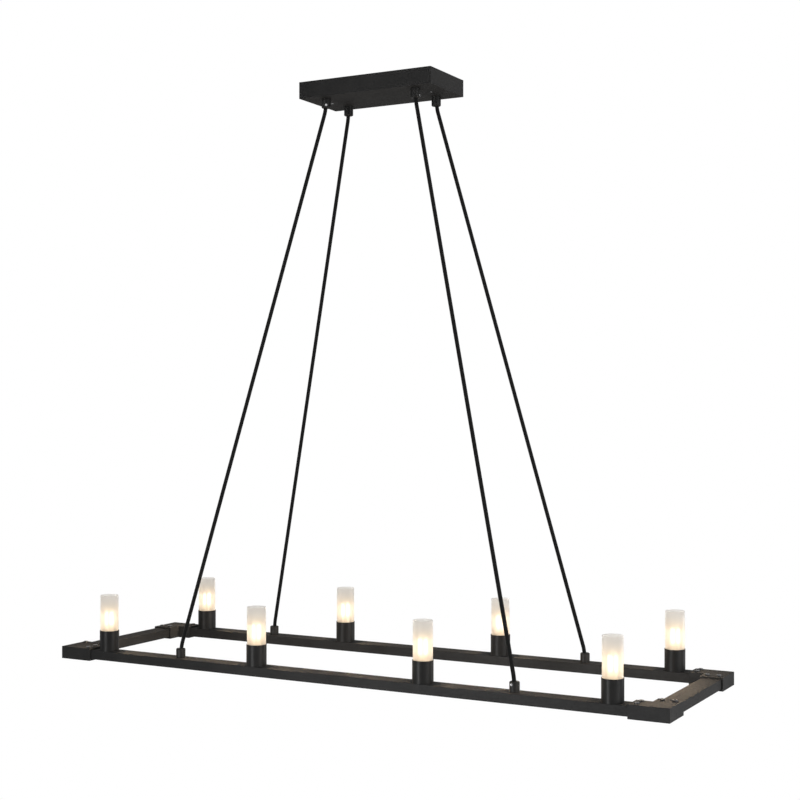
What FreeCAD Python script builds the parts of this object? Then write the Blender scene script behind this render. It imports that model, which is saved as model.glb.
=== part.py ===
"""Linear island pendant: a rectangular frame with eight upright lamps on four slanted cords.

Millimetres, +Z up. The origin is on the ceiling, at the centre of the bracket's screw pattern.
+X runs along the frame and the canopy, -Y is the front.
"""
import FreeCAD, Part
import Sketcher
import math
import os
import re

Vector = FreeCAD.Vector
doc = FreeCAD.newDocument("IslandPendant")

# ---------------------------------------------------------------- sizes
SIZES = [
    # frame: flat rectangular tubes in four corner connectors
    ("frame_length", 1200),      # over the corner connectors, along X
    ("frame_width", 350),        # over the corner connectors, along Y
    ("drop", 1050),              # ceiling to the top of the rails
    ("tube_width", 35),
    ("tube_height", 17),
    ("tube_wall", 1.2),
    ("tube_corner", 1.2),        # outer corner radius of the tube
    ("sleeve_wall", 2.8),        # wall of a corner connector
    ("sleeve_fit", 0.2),         # clearance all round the tube inside a connector
    ("sleeve_edge", 0.6),        # rounding of a connector's outer edges
    ("arm_length", 68),          # outer length of each arm of a connector
    # pan-head screws of the connectors
    ("screw_inset", 12),         # from the end of the arm
    ("screw_pitch", 20),         # the two screws across one arm
    ("screw_dia", 5),
    ("screw_length", 8),
    ("screw_head_dia", 9),
    ("screw_head_height", 2.6),
    ("screw_head_round", 1.3),
    ("recess_length", 4.4),      # cross recess in the heads
    ("recess_width", 1.0),
    ("recess_depth", 1.2),
    ("hole_play", 0.2),          # radial play of a screw or a nipple in its hole
    ("thread_play", 0.05),       # radial play kept where a thread would be
    ("nut_bar_length", 30),
    ("nut_bar_width", 10),
    ("nut_bar_height", 3),
    # lamps
    ("lamp_inset", 99),          # from the frame's end to the outermost lamp's axis
    ("cup_dia", 36),
    ("cup_height", 38),
    ("cup_wall", 0.9),
    ("cup_floor", 1.5),
    ("glass_dia", 33.5),
    ("glass_wall", 2),
    ("glass_top", 104),          # above the rail
    ("seat_gap", 0.3),           # under a piece that lifts off
    ("rim_round", 0.35),
    ("nipple_dia", 10),
    ("nipple_bore_dia", 6.5),
    ("nipple_above", 8),         # above the rail's top
    ("nipple_below", 7.5),
    ("nut_flats", 14),
    ("nut_height", 2.5),
    ("holder_base_dia", 22),
    ("holder_base_height", 6),
    ("holder_dia", 17),
    ("holder_top", 24),          # above the rail
    ("pin_pitch", 9),
    ("pin_dia", 1.2),
    ("pin_length", 6),
    ("pin_play", 0.2),
    ("pin_room", 1),             # under the pins in their holes
    ("lamp_foot_width", 12.6),
    ("lamp_foot_depth", 8),
    ("lamp_foot_height", 7),
    ("lamp_dia", 15.5),
    ("lamp_edge", 1),            # bevel at the foot of the lamp's tube
    ("lamp_top", 82),            # above the rail
    # cords and their grips
    ("cord_dia", 7),
    ("grip_dia", 17),
    ("grip_height", 17),
    ("grip_chamfer", 1.2),
    ("cord_play", 0.4),          # radial play of the cord in a grip
    ("spigot_length", 8),
    ("grub_dia", 4),
    ("grub_inset", 4.6),         # from the outlet end of the grip
    ("grub_proud", 0.1),
    ("grub_socket", 2),          # across the flats
    ("grub_play", 0.1),
    ("cord_past", 1),            # the cord ends this far past the spigot
    ("cord_bend", 35),           # radius of the cord's axis at the edge of each mouth
    ("grip_x", 92),              # grips under the canopy, from its centre
    ("grip_y", 40),
    # canopy and what it hides
    ("canopy_length", 270),
    ("canopy_width", 130),
    ("canopy_height", 30),
    ("canopy_wall", 1.2),
    ("canopy_edge", 1.5),
    ("strap_length", 230),
    ("strap_width", 24),
    ("strap_thick", 2),
    ("slot_pitch", 88),
    ("slot_length", 16),
    ("slot_width", 5),
    ("post_x", 105),             # threaded posts that hold the canopy, from its centre
    ("post_dia", 9),
    ("cover_screw_dia", 4),
    ("cover_screw_length", 9),
    ("cover_head_dia", 7.6),
    ("cover_head_height", 2.2),
    ("cover_head_edge", 0.4),
    ("terminal_length", 32),
    ("terminal_width", 18),
    ("terminal_height", 11.5),
    ("clamp_screw_dia", 4),
    ("clamp_screw_depth", 2),
    ("lead_dia", 4.5),
    ("lead_bend", 11),           # radius of a lead's axis where it turns level
    ("lead_entry", 8),           # straight run into the terminal block
    ("wire_dia", 4),
    ("riser_dia", 3),
    ("wire_gap", 0.1),           # between a wire and what it lies on
    ("wire_overrun", 9),         # the wire goes past the last lamp
]
names = [alias for alias, _ in SIZES]
sheet = doc.addObject("Spreadsheet::Sheet", "Sizes")
for row, (alias, value) in enumerate(SIZES, start=1):
    sheet.set("A%d" % row, alias)
    sheet.set("B%d" % row, str(value))
    sheet.setAlias("B%d" % row, alias)
doc.recompute()

# sizes that follow from others, as expressions
SLEEVE_WIDTH = "(tube_width + 2*sleeve_fit + 2*sleeve_wall)"
SLEEVE_HEIGHT = "(tube_height + 2*sleeve_fit + 2*sleeve_wall)"
RAIL_TOP = "(-drop)"
RAIL_AXIS_Z = "(-drop - tube_height/2)"
RAIL_Y = "(frame_width/2 - %s/2)" % SLEEVE_WIDTH
SHORT_RAIL_X = "(frame_length/2 - %s/2)" % SLEEVE_WIDTH
RAIL_LENGTH = "(frame_length - 2*%s)" % SLEEVE_WIDTH
SHORT_RAIL_LENGTH = "(frame_width - 2*%s)" % SLEEVE_WIDTH
SCREW_FROM_CORNER = "(arm_length - screw_inset)"
SCREW_SEAT_Z = "(-drop + sleeve_fit + sleeve_wall)"
TUBE_CEILING = "(tube_height/2 - tube_wall)"
NIPPLE_HOLE_R = "(nipple_dia/2 + hole_play)"
SCREW_HOLE_R = "(screw_dia/2 + hole_play)"
GRIP_BORE_R = "(cord_dia/2 + cord_play)"
LAMP_PITCH = "((frame_length - 2*lamp_inset)/3)"
CORD_X = LAMP_PITCH              # halfway between the inner and the outer lamps
CANOPY_FLOOR = "(-canopy_height + canopy_wall)"
GLASS_FOOT = "(cup_floor + seat_gap)"


def bound(expression):
    """The expression with every size's name led by the sheet's."""
    return re.sub(r"[a-z_]+", lambda m: "Sizes." + m.group() if m.group() in names else m.group(), expression)


def size(expression):
    """What an expression of the sheet's sizes comes to now."""
    return float(sheet.evalExpression(bound(expression)))


# ---------------------------------------------------------------- drawing helpers
def new_body(label):
    body = doc.addObject("PartDesign::Body", label)
    body.Label = label
    return body


def place(thing, x="0", y="0", z="0", turn=0.0, tip=0.0):
    """Bind a thing's position; turn is about Z, tip is about X before it, in degrees."""
    spin = FreeCAD.Rotation(Vector(0, 0, 1), turn)
    thing.Placement.Rotation = spin.multiply(FreeCAD.Rotation(Vector(1, 0, 0), tip))
    thing.setExpression("Placement.Base.x", bound(x))
    thing.setExpression("Placement.Base.y", bound(y))
    thing.setExpression("Placement.Base.z", bound(z))
    return thing


def new_sketch(body, plane, offset=None):
    """A sketch on one of the body's own origin planes, set off along its normal."""
    sketch = body.newObject("Sketcher::SketchObject", body.Name + "_sketch")
    origin_plane = [f for f in body.Origin.OriginFeatures if f.Role == plane][0]
    sketch.AttachmentSupport = [(origin_plane, "")]
    sketch.MapMode = "FlatFace"
    if offset:
        sketch.setExpression("AttachmentOffset.Base.z", bound(offset))
    return sketch


def pin_point(sketch, index, end, x, y):
    """Tie one end of a line, or a circle's centre, to the sketch's origin."""
    for axis, expression in (("X", x), ("Y", y)):
        number = sketch.addConstraint(
            Sketcher.Constraint("Distance" + axis, -1, 1, index, end, size(expression)))
        if re.search("[a-z]", expression):
            sketch.setExpression("Constraints[%d]" % number, bound(expression))


def outline(sketch, points):
    """A closed outline of straight lines through points given as expressions."""
    first = sketch.GeometryCount
    count = len(points)
    places = [Vector(size(x), size(y), 0) for x, y in points]
    for i in range(count):
        sketch.addGeometry(Part.LineSegment(places[i], places[(i + 1) % count]), False)
    for i in range(count):
        sketch.addConstraint(Sketcher.Constraint("Coincident", first + i, 2, first + (i + 1) % count, 1))
    for i, (x, y) in enumerate(points):
        pin_point(sketch, first + i, 1, x, y)


def rectangle(sketch, left, right, low, high):
    outline(sketch, [(left, low), (right, low), (right, high), (left, high)])


def circle(sketch, x, y, radius):
    index = sketch.addGeometry(
        Part.Circle(Vector(size(x), size(y), 0), Vector(0, 0, 1), size(radius)), False)
    pin_point(sketch, index, 3, x, y)
    number = sketch.addConstraint(Sketcher.Constraint("Radius", index, size(radius)))
    sketch.setExpression("Constraints[%d]" % number, bound(radius))


def pad(body, sketch, length, middle=False):
    feature = body.newObject("PartDesign::Pad", body.Name + "_pad")
    feature.Profile = sketch
    feature.Midplane = middle
    feature.setExpression("Length", bound(length))
    return feature


def pocket(body, sketch, depth, reverse=False):
    """Cut against the sketch's normal, or along it where reverse is set; an empty cut is an error."""
    doc.recompute()
    before = body.Shape.Volume
    feature = body.newObject("PartDesign::Pocket", body.Name + "_pocket")
    feature.Profile = sketch
    feature.Reversed = reverse
    feature.setExpression("Length", bound(depth))
    doc.recompute()
    if not body.Shape.Volume < before:
        raise RuntimeError("a pocket in %s cuts nothing" % body.Label)
    return feature


def revolve(label, points):
    """A body turned about Z from its half section, with points as (radius, height)."""
    body = new_body(label)
    sketch = new_sketch(body, "XZ_Plane")
    outline(sketch, points)
    feature = body.newObject("PartDesign::Revolution", body.Name + "_turn")
    feature.Profile = sketch
    feature.ReferenceAxis = (sketch, ["V_Axis"])
    feature.Angle = 360
    return body


def round_edges(body, radius, chosen):
    """Round the edges of the body's last feature that the test chooses."""
    doc.recompute()
    base = body.Tip
    edges = ["Edge%d" % (i + 1) for i, edge in enumerate(base.Shape.Edges) if chosen(edge)]
    feature = body.newObject("PartDesign::Fillet", body.Name + "_round")
    feature.Base = (base, edges)
    feature.setExpression("Radius", bound(radius))
    return feature


def along(edge, direction):
    """True for a straight edge that runs along the direction."""
    if not isinstance(edge.Curve, Part.Line):
        return False
    return abs(abs(edge.Curve.Direction.dot(direction)) - 1) < 1e-6


def box(label, length, width, height):
    """A box centred on Z, from z = 0 up."""
    thing = doc.addObject("Part::Box", label)
    for name, expression in (("Length", length), ("Width", width), ("Height", height)):
        thing.setExpression(name, bound(expression))
    return place(thing, "-(%s)/2" % length, "-(%s)/2" % width)


def rod(label, radius, length):
    """A round rod on Z, from z = 0 up."""
    thing = doc.addObject("Part::Cylinder", label)
    thing.setExpression("Radius", bound(radius))
    thing.setExpression("Height", bound(length))
    return thing


def prism(label, flats, length):
    """A six-sided rod on Z, given across its flats."""
    thing = doc.addObject("Part::Prism", label)
    thing.Polygon = 6
    thing.setExpression("Circumradius", bound("%s / %.9f" % (flats, 2 * math.cos(math.pi / 6))))
    thing.setExpression("Height", bound(length))
    return thing


def join(label, things):
    thing = doc.addObject("Part::MultiFuse", label)
    thing.Shapes = things
    thing.Refine = True
    return thing


def cut(label, base, tools):
    """The base without the tools; tools that miss it are an error."""
    thing = doc.addObject("Part::Cut", label)
    thing.Base = base
    thing.Tool = tools[0] if len(tools) == 1 else join(label + "_tools", tools)
    doc.recompute()
    if not thing.Shape.Volume < base.Shape.Volume:
        raise RuntimeError("a cut in %s removes nothing" % label)
    return thing


def group(label, things):
    thing = doc.addObject("Part::Compound", label)
    thing.Links = things
    return thing


nodes = []


def node(thing, name):
    """Give a finished sub-part its name, which is also its file's name."""
    thing.Label = name
    nodes.append(thing)
    return thing


SIDES = (("front", -1), ("back", 1))
ENDS = (("left", -1), ("right", 1))


# ---------------------------------------------------------------- canopy and its inside
def canopy_shell():
    """A folded box, open towards the ceiling, with holes for four grips and two cover screws."""
    body = new_body("canopy_shell_body")
    outer = new_sketch(body, "XY_Plane", "-canopy_height")
    rectangle(outer, "-canopy_length/2", "canopy_length/2", "-canopy_width/2", "canopy_width/2")
    pad(body, outer, "canopy_height")
    up = Vector(0, 0, 1)
    round_edges(body, "canopy_edge", lambda edge: along(edge, up))
    inner = new_sketch(body, "XY_Plane")
    inside_x = "(canopy_length/2 - canopy_wall)"
    inside_y = "(canopy_width/2 - canopy_wall)"
    rectangle(inner, "-" + inside_x, inside_x, "-" + inside_y, inside_y)
    pocket(body, inner, "canopy_height - canopy_wall")
    holes = new_sketch(body, "XY_Plane")
    for _, sy in SIDES:
        for _, sx in ENDS:
            circle(holes, "%d*grip_x" % sx, "%d*grip_y" % sy, NIPPLE_HOLE_R)
    for _, sx in ENDS:
        circle(holes, "%d*post_x" % sx, "0", "(cover_head_dia/2 + thread_play)")
    pocket(body, holes, "2*canopy_height")
    node(body, "canopy_shell")


def mounting_bracket():
    """A flat strap on the ceiling with two slots for its screws and two holes for the posts."""
    plate = box("strap_plate", "strap_length", "strap_width", "strap_thick")
    cuts = []
    for _, sx in ENDS:
        slot = box("strap_slot", "slot_length - slot_width", "slot_width", "2*strap_thick")
        place(slot, "%d*slot_pitch/2 - (slot_length - slot_width)/2" % sx, "-slot_width/2", "-strap_thick/2")
        cuts.append(slot)
        for _, side in ENDS:
            end = rod("strap_slot_end", "slot_width/2", "2*strap_thick")
            place(end, "%d*slot_pitch/2 + %d*(slot_length - slot_width)/2" % (sx, side), "0", "-strap_thick/2")
            cuts.append(end)
    strap = cut("strap", plate, cuts)
    node(place(strap, z="-strap_thick"), "mounting_bracket")


def bracket_posts():
    """Two threaded posts under the strap, which the canopy's screws go into."""
    length = "(canopy_height - cover_head_height - thread_play - strap_thick)"
    posts = []
    for _, sx in ENDS:
        post = rod("post", "post_dia/2", length)
        bore = rod("post_bore", "(cover_screw_dia/2 + thread_play)", length)
        posts.append(place(cut("post_tube", post, [bore]), "%d*post_x" % sx, "0",
                           "-strap_thick - " + length))
    node(group("posts", posts), "bracket_posts")


def canopy_screws():
    """Countersunk screws, flush with the canopy's underside."""
    screws = []
    for _, sx in ENDS:
        screw = revolve("cover_screw", [
            ("0", "0"), ("cover_head_dia/2", "0"), ("cover_head_dia/2", "cover_head_edge"),
            ("cover_screw_dia/2", "cover_head_height"), ("cover_screw_dia/2", "cover_screw_length"),
            ("0", "cover_screw_length")])
        cross_recess(screw, "0", True)
        screws.append(place(screw, "%d*post_x" % sx, "0", "-canopy_height"))
    node(group("cover_screws", screws), "canopy_screws")


def cross_recess(body, level, reverse=False):
    """A cross-shaped driver recess, cut down from the level, or up where reverse is set."""
    recess = new_sketch(body, "XY_Plane", level)
    far = "recess_length/2"
    near = "recess_width/2"
    corners = [(far, near), (near, near), (near, far)]
    points = []
    for sx, sy, order in ((1, 1, 1), (-1, 1, -1), (-1, -1, 1), (1, -1, -1)):
        for x, y in corners[::order]:
            points.append(("%d*%s" % (sx, x), "%d*%s" % (sy, y)))
    outline(recess, points)
    pocket(body, recess, "recess_depth", reverse)


TERMINAL_TOP = "(-strap_thick - wire_gap)"


def terminal_block():
    """Three-pole block under the strap, with its clamp screws' wells facing down."""
    block = box("terminal_body", "terminal_length", "terminal_width", "terminal_height")
    wells = []
    for column in (-1, 0, 1):
        for _, sy in SIDES:
            well = rod("terminal_well", "clamp_screw_dia/2", "clamp_screw_depth")
            place(well, "%d*terminal_length*0.3" % column, "%d*terminal_width/4" % sy, "0")
            wells.append(well)
    block = cut("terminal", block, wells)
    node(place(block, z=TERMINAL_TOP + " - terminal_height"), "terminal_block")


def bent_path(points, radius):
    """A wire of straight runs through the points, with a tangent arc of the radius at each corner."""
    edges = []
    start = points[0]
    for before, corner, after in zip(points, points[1:], points[2:]):
        into = (corner - before).normalize()
        out = (after - corner).normalize()
        half = into.getAngle(out) / 2
        setback = radius * math.tan(half)
        first = corner - into * setback
        last = corner + out * setback
        inward = (out - into).normalize()
        middle = corner + inward * (radius / math.cos(half) - radius)
        edges.append(Part.LineSegment(start, first).toShape())
        edges.append(Part.Arc(first, middle, last).toShape())
        start = last
    edges.append(Part.LineSegment(start, points[-1]).toShape())
    return Part.Wire(edges)


def tube_along(wire, radius, label):
    """A round solid along a wire; its volume has to match its section times its length."""
    first = wire.Edges[0]
    start = first.valueAt(first.FirstParameter)
    direction = first.tangentAt(first.FirstParameter)
    profile = Part.Wire([Part.makeCircle(radius, start, direction)])
    solid = wire.makePipeShell([profile], True, False, 2)
    expected = math.pi * radius ** 2 * wire.Length
    if abs(solid.Volume - expected) > 0.01 * expected:
        raise RuntimeError("%s: volume %.1f, expected %.1f" % (label, solid.Volume, expected))
    return solid


def canopy_leads():
    """The cords' inner leads: up out of the grips' spigots, then level to the terminal block."""
    start_z = size("-canopy_height + spigot_length + cord_past + wire_gap")
    level = size(TERMINAL_TOP + " - terminal_height/2")
    block_x = size("terminal_length/2 + wire_gap")
    block_y = size("terminal_width/4")
    solids = []
    for _, sy in SIDES:
        for _, sx in ENDS:
            above_grip = Vector(sx * size("grip_x"), sy * size("grip_y"), level)
            start = Vector(above_grip.x, above_grip.y, start_z)
            finish = Vector(sx * block_x, sy * block_y, level)
            entry = finish + Vector(sx * size("lead_entry"), 0, 0)
            wire = bent_path([start, above_grip, entry, finish], size("lead_bend"))
            solids.append(tube_along(wire, size("lead_dia") / 2, "canopy lead"))
    print("canopy leads: %.0f mm each, two arcs of radius %.0f" % (wire.Length, size("lead_bend")))
    leads = doc.addObject("Part::Feature", "leads")
    leads.Shape = Part.makeCompound(solids)
    node(leads, "canopy_leads")


# ---------------------------------------------------------------- cord grips
# Direction in which each grip's grub screw faces, in degrees about Z from +X.
GRUB_FACES = {
    ("upper", "front", "left"): -60, ("upper", "back", "left"): 100,
    ("upper", "front", "right"): 5, ("upper", "back", "right"): 80,
    ("lower", "front", "left"): 200, ("lower", "back", "left"): 120,
    ("lower", "front", "right"): 255, ("lower", "back", "right"): 60,
}


def cord_grip():
    """Grip with its outlet at z = 0 and its spigot up at the other end."""
    grip = revolve("grip", [
        (GRIP_BORE_R, "0"), ("(grip_dia/2 - grip_chamfer)", "0"), ("grip_dia/2", "grip_chamfer"),
        ("grip_dia/2", "grip_height"), ("nipple_dia/2", "grip_height"),
        ("nipple_dia/2", "grip_height + spigot_length"), (GRIP_BORE_R, "grip_height + spigot_length")])
    hole = new_sketch(grip, "YZ_Plane")
    circle(hole, "0", "grub_inset", "(grub_dia/2 + grub_play)")
    pocket(grip, hole, "grip_dia", True)
    return grip


def grub_screw():
    """Headless screw on Z with a socket in its outer end."""
    length = "(grip_dia/2 + grub_proud - cord_dia/2 - cord_play)"
    shank = rod("grub_shank", "grub_dia/2", length)
    socket = prism("grub_socket_tool", "grub_socket", length)
    place(socket, z="%s/2" % length)
    return cut("grub", shank, [socket])


def grips_and_nuts():
    """Four grips under the canopy and four upside down on the long rails."""
    for level in ("upper", "lower"):
        grips, grubs, nuts = [], [], []
        upper = level == "upper"
        outlet_z = "(-canopy_height - grip_height)" if upper else RAIL_TOP + " + grip_height"
        nut_z = CANOPY_FLOOR if upper else RAIL_TOP + " - tube_wall - nut_height"
        grub_z = outlet_z + (" + grub_inset" if upper else " - grub_inset")
        for side, sy in SIDES:
            for end, sx in ENDS:
                x = "%d*%s" % (sx, "grip_x" if upper else CORD_X)
                y = "%d*%s" % (sy, "grip_y" if upper else RAIL_Y)
                face = GRUB_FACES[level, side, end]
                grips.append(place(cord_grip(), x, y, outlet_z, face, 0 if upper else 180))
                grub = grub_screw()
                grub.Placement.Rotation = FreeCAD.Rotation(
                    Vector(0, 0, 1), Vector(math.cos(math.radians(face)), math.sin(math.radians(face)), 0))
                for axis, base, part in (("x", x, math.cos(math.radians(face))),
                                         ("y", y, math.sin(math.radians(face)))):
                    grub.setExpression("Placement.Base." + axis,
                                       bound("%s + (%.9f)*%s" % (base, part, GRIP_BORE_R)))
                grub.setExpression("Placement.Base.z", bound(grub_z))
                grubs.append(grub)
                nuts.append(place(lock_nut(), x, y, nut_z))
        node(group(level + "_grips", grips), level + "_cord_grips")
        node(group(level + "_grubs", grubs), level + "_grub_screws")
        node(group(level + "_nuts", nuts), level + "_grip_nuts")


def lock_nut():
    blank = prism("nut_blank", "nut_flats", "nut_height")
    return cut("nut", blank, [rod("nut_bore", "(nipple_dia/2 + thread_play)", "nut_height")])


# ---------------------------------------------------------------- cords
def cords():
    """Four textile cords: upright in the grips, bent over the edge of each mouth, straight between."""
    upper_mouth = size("-canopy_height - grip_height")
    lower_mouth = size(RAIL_TOP + " + grip_height")
    upright = Vector(0, 0, size("grip_height + spigot_length + cord_past"))
    for side, sy in SIDES:
        for end, sx in ENDS:
            top = Vector(sx * size("grip_x"), sy * size("grip_y"), upper_mouth)
            foot = Vector(sx * size(CORD_X), sy * size(RAIL_Y), lower_mouth)
            wire = bent_path([top + upright, top, foot, foot - upright], size("cord_bend"))
            cord = doc.addObject("Part::Feature", "cord")
            cord.Shape = tube_along(wire, size("cord_dia") / 2, "cord")
            node(cord, "cord_%s_%s" % (side, end))
    print("cords: %.1f mm each, two arcs of radius %.0f" % (wire.Length, size("cord_bend")))


# ---------------------------------------------------------------- frame
def tube(label, length, holes):
    """Flat rectangular tube along X, centred on the origin, with round holes in its top wall."""
    body = new_body(label)
    section = new_sketch(body, "YZ_Plane")
    rectangle(section, "-tube_width/2", "tube_width/2", "-tube_height/2", "tube_height/2")
    pad(body, section, length, True)
    forward = Vector(1, 0, 0)
    round_edges(body, "tube_corner", lambda edge: along(edge, forward))
    hollow = new_sketch(body, "YZ_Plane", "-(%s)" % length)
    inside_y = "(tube_width/2 - tube_wall)"
    rectangle(hollow, "-" + inside_y, inside_y, "-" + TUBE_CEILING, TUBE_CEILING)
    pocket(body, hollow, "2*(%s)" % length, True)
    drilled = new_sketch(body, "XY_Plane")
    for x, y, radius in holes:
        circle(drilled, x, y, radius)
    pocket(body, drilled, "tube_height", True)
    return body


def end_screw_holes(half_length):
    """Holes for the connector screws near both ends of a tube."""
    holes = []
    for _, sx in ENDS:
        for _, sy in SIDES:
            holes.append(("%d*(%s - %s)" % (sx, half_length, SCREW_FROM_CORNER), "%d*screw_pitch/2" % sy,
                          SCREW_HOLE_R))
    return holes


LAMP_X = ["%.1f*%s" % (step, LAMP_PITCH) for step in (-1.5, -0.5, 0.5, 1.5)]


def rails():
    for side, sy in SIDES:
        holes = end_screw_holes("frame_length/2")
        holes += [(x, "0", NIPPLE_HOLE_R) for x in LAMP_X]
        holes += [("%d*%s" % (sx, CORD_X), "0", NIPPLE_HOLE_R) for _, sx in ENDS]
        rail = tube("%s_rail_body" % side, RAIL_LENGTH, holes)
        node(place(rail, "0", "%d*%s" % (sy, RAIL_Y), RAIL_AXIS_Z), "%s_long_rail" % side)
    for end, sx in ENDS:
        rail = tube("%s_rail_body" % end, SHORT_RAIL_LENGTH, end_screw_holes("frame_width/2"))
        node(place(rail, "%d*%s" % (sx, SHORT_RAIL_X), "0", RAIL_AXIS_Z, 90), "%s_short_rail" % end)


def corner_connector(label):
    """L-shaped sleeve with its outer corner on the Z axis and its arms along +X and +Y."""
    body = new_body(label)
    plan = new_sketch(body, "XY_Plane")
    outline(plan, [("0", "0"), ("arm_length", "0"), ("arm_length", SLEEVE_WIDTH),
                   (SLEEVE_WIDTH, SLEEVE_WIDTH), (SLEEVE_WIDTH, "arm_length"), ("0", "arm_length")])
    pad(body, plan, SLEEVE_HEIGHT, True)
    width = size(SLEEVE_WIDTH)
    doc.recompute()
    inner_corner = Vector(width, width, 0)

    def outside(edge):
        """Every edge but the upright one in the inner corner."""
        middle = edge.valueAt((edge.FirstParameter + edge.LastParameter) / 2)
        return middle.distanceToPoint(inner_corner) > 1e-3

    round_edges(body, "sleeve_edge", outside)
    room_y = "(%s - sleeve_wall)" % SLEEVE_WIDTH
    room_z = "(tube_height/2 + sleeve_fit)"
    run_x = new_sketch(body, "YZ_Plane", "sleeve_wall")
    rectangle(run_x, "sleeve_wall", room_y, "-" + room_z, room_z)
    pocket(body, run_x, "arm_length", True)
    run_y = new_sketch(body, "XZ_Plane", "-sleeve_wall")
    rectangle(run_y, "sleeve_wall", room_y, "-" + room_z, room_z)
    pocket(body, run_y, "arm_length")
    drilled = new_sketch(body, "XY_Plane")
    for _, sy in SIDES:
        across = "(%s/2 + %d*screw_pitch/2)" % (SLEEVE_WIDTH, sy)
        circle(drilled, SCREW_FROM_CORNER, across, SCREW_HOLE_R)
        circle(drilled, across, SCREW_FROM_CORNER, SCREW_HOLE_R)
    pocket(body, drilled, SLEEVE_HEIGHT, True)
    return body


CORNERS = (("front_left", -1, -1, 0), ("front_right", 1, -1, 90),
           ("back_right", 1, 1, 180), ("back_left", -1, 1, 270))


def connectors():
    for name, sx, sy, turn in CORNERS:
        sleeve = corner_connector("%s_sleeve" % name)
        place(sleeve, "%d*frame_length/2" % sx, "%d*frame_width/2" % sy, RAIL_AXIS_Z, turn)
        node(sleeve, "corner_connector_" + name)


def corner_screw():
    """Pan-head screw with the underside of its head at z = 0."""
    screw = revolve("pan_screw", [
        ("0", "-screw_length"), ("screw_dia/2", "-screw_length"), ("screw_dia/2", "0"),
        ("screw_head_dia/2", "0"), ("screw_head_dia/2", "screw_head_height"), ("0", "screw_head_height")])
    top = size("screw_head_height")
    round_edges(screw, "screw_head_round", lambda edge: edge.BoundBox.ZMin > top - 1e-3)
    cross_recess(screw, "screw_head_height")
    return screw


def corner_fasteners():
    """Two screws across each arm, and the bar in the tube that they thread into."""
    screws, bars = [], []
    bar_z = "(%s - tube_wall - nut_bar_height)" % RAIL_TOP
    arm_x = "(frame_length/2 - %s)" % SCREW_FROM_CORNER
    arm_y = "(frame_width/2 - %s)" % SCREW_FROM_CORNER
    for _, sx, sy, _ in CORNERS:
        for long_arm in (True, False):
            for step in (-1, 1):
                if long_arm:
                    x, y = "%d*%s" % (sx, arm_x), "%d*%s + %d*screw_pitch/2" % (sy, RAIL_Y, step)
                else:
                    x, y = "%d*%s + %d*screw_pitch/2" % (sx, SHORT_RAIL_X, step), "%d*%s" % (sy, arm_y)
                screws.append(place(corner_screw(), x, y, SCREW_SEAT_Z))
            blank = box("bar_blank", "nut_bar_length", "nut_bar_width", "nut_bar_height")
            threads = []
            for step in (-1, 1):
                thread = rod("bar_thread", "(screw_dia/2 + thread_play)", "nut_bar_height")
                threads.append(place(thread, "%d*screw_pitch/2" % step))
            bar = cut("bar", blank, threads)
            if long_arm:
                place(bar, "%d*%s" % (sx, arm_x), "%d*%s" % (sy, RAIL_Y), bar_z, 90)
            else:
                place(bar, "%d*%s" % (sx, SHORT_RAIL_X), "%d*%s" % (sy, arm_y), bar_z)
            bars.append(bar)
    node(group("pan_screws", screws), "corner_screws")
    node(group("nut_bars", bars), "corner_nut_bars")


# ---------------------------------------------------------------- lamps
def lamp_cup(label):
    """Plain turned cup with a hole in its floor; its foot stands on the rail."""
    radius = "(cup_dia/2)"
    inside = "(cup_dia/2 - cup_wall)"
    cup = revolve(label, [
        (NIPPLE_HOLE_R, "0"), (radius, "0"), (radius, "cup_height"), (inside, "cup_height"),
        (inside, "cup_floor"), (NIPPLE_HOLE_R, "cup_floor")])
    top = size("cup_height")
    round_edges(cup, "rim_round", lambda edge: edge.BoundBox.ZMin > top - 1e-3)
    return cup


def glass_shade(label):
    """Straight glass cylinder, open at both ends, standing in the cup."""
    outer = "(glass_dia/2)"
    inner = "(glass_dia/2 - glass_wall)"
    glass = revolve(label, [(inner, GLASS_FOOT), (outer, GLASS_FOOT), (outer, "glass_top"), (inner, "glass_top")])
    top = size("glass_top")
    round_edges(glass, "2*rim_round", lambda edge: edge.BoundBox.ZMin > top - 1e-3)
    return glass


def threaded_nipple():
    below = "-nipple_below"
    return revolve("nipple", [("nipple_bore_dia/2", below), ("nipple_dia/2", below),
                              ("nipple_dia/2", "nipple_above"), ("nipple_bore_dia/2", "nipple_above")])


HOLDER_FOOT = "(cup_floor + nut_height)"


def lamp_holder():
    """Ceramic two-pin holder, screwed down over the top of the nipple."""
    bore = "(nipple_dia/2 + thread_play)"
    holder = revolve("holder", [
        (bore, HOLDER_FOOT), ("holder_base_dia/2", HOLDER_FOOT),
        ("holder_base_dia/2", HOLDER_FOOT + " + holder_base_height"),
        ("holder_dia/2", HOLDER_FOOT + " + holder_base_height"), ("holder_dia/2", "holder_top"),
        ("0", "holder_top"), ("0", "nipple_above + thread_play"), (bore, "nipple_above + thread_play")])
    sockets = new_sketch(holder, "XY_Plane", "holder_top")
    for _, sx in ENDS:
        circle(sockets, "%d*pin_pitch/2" % sx, "0", "(pin_dia/2 + pin_play)")
    pocket(holder, sockets, "pin_length + pin_room")
    return holder


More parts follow.
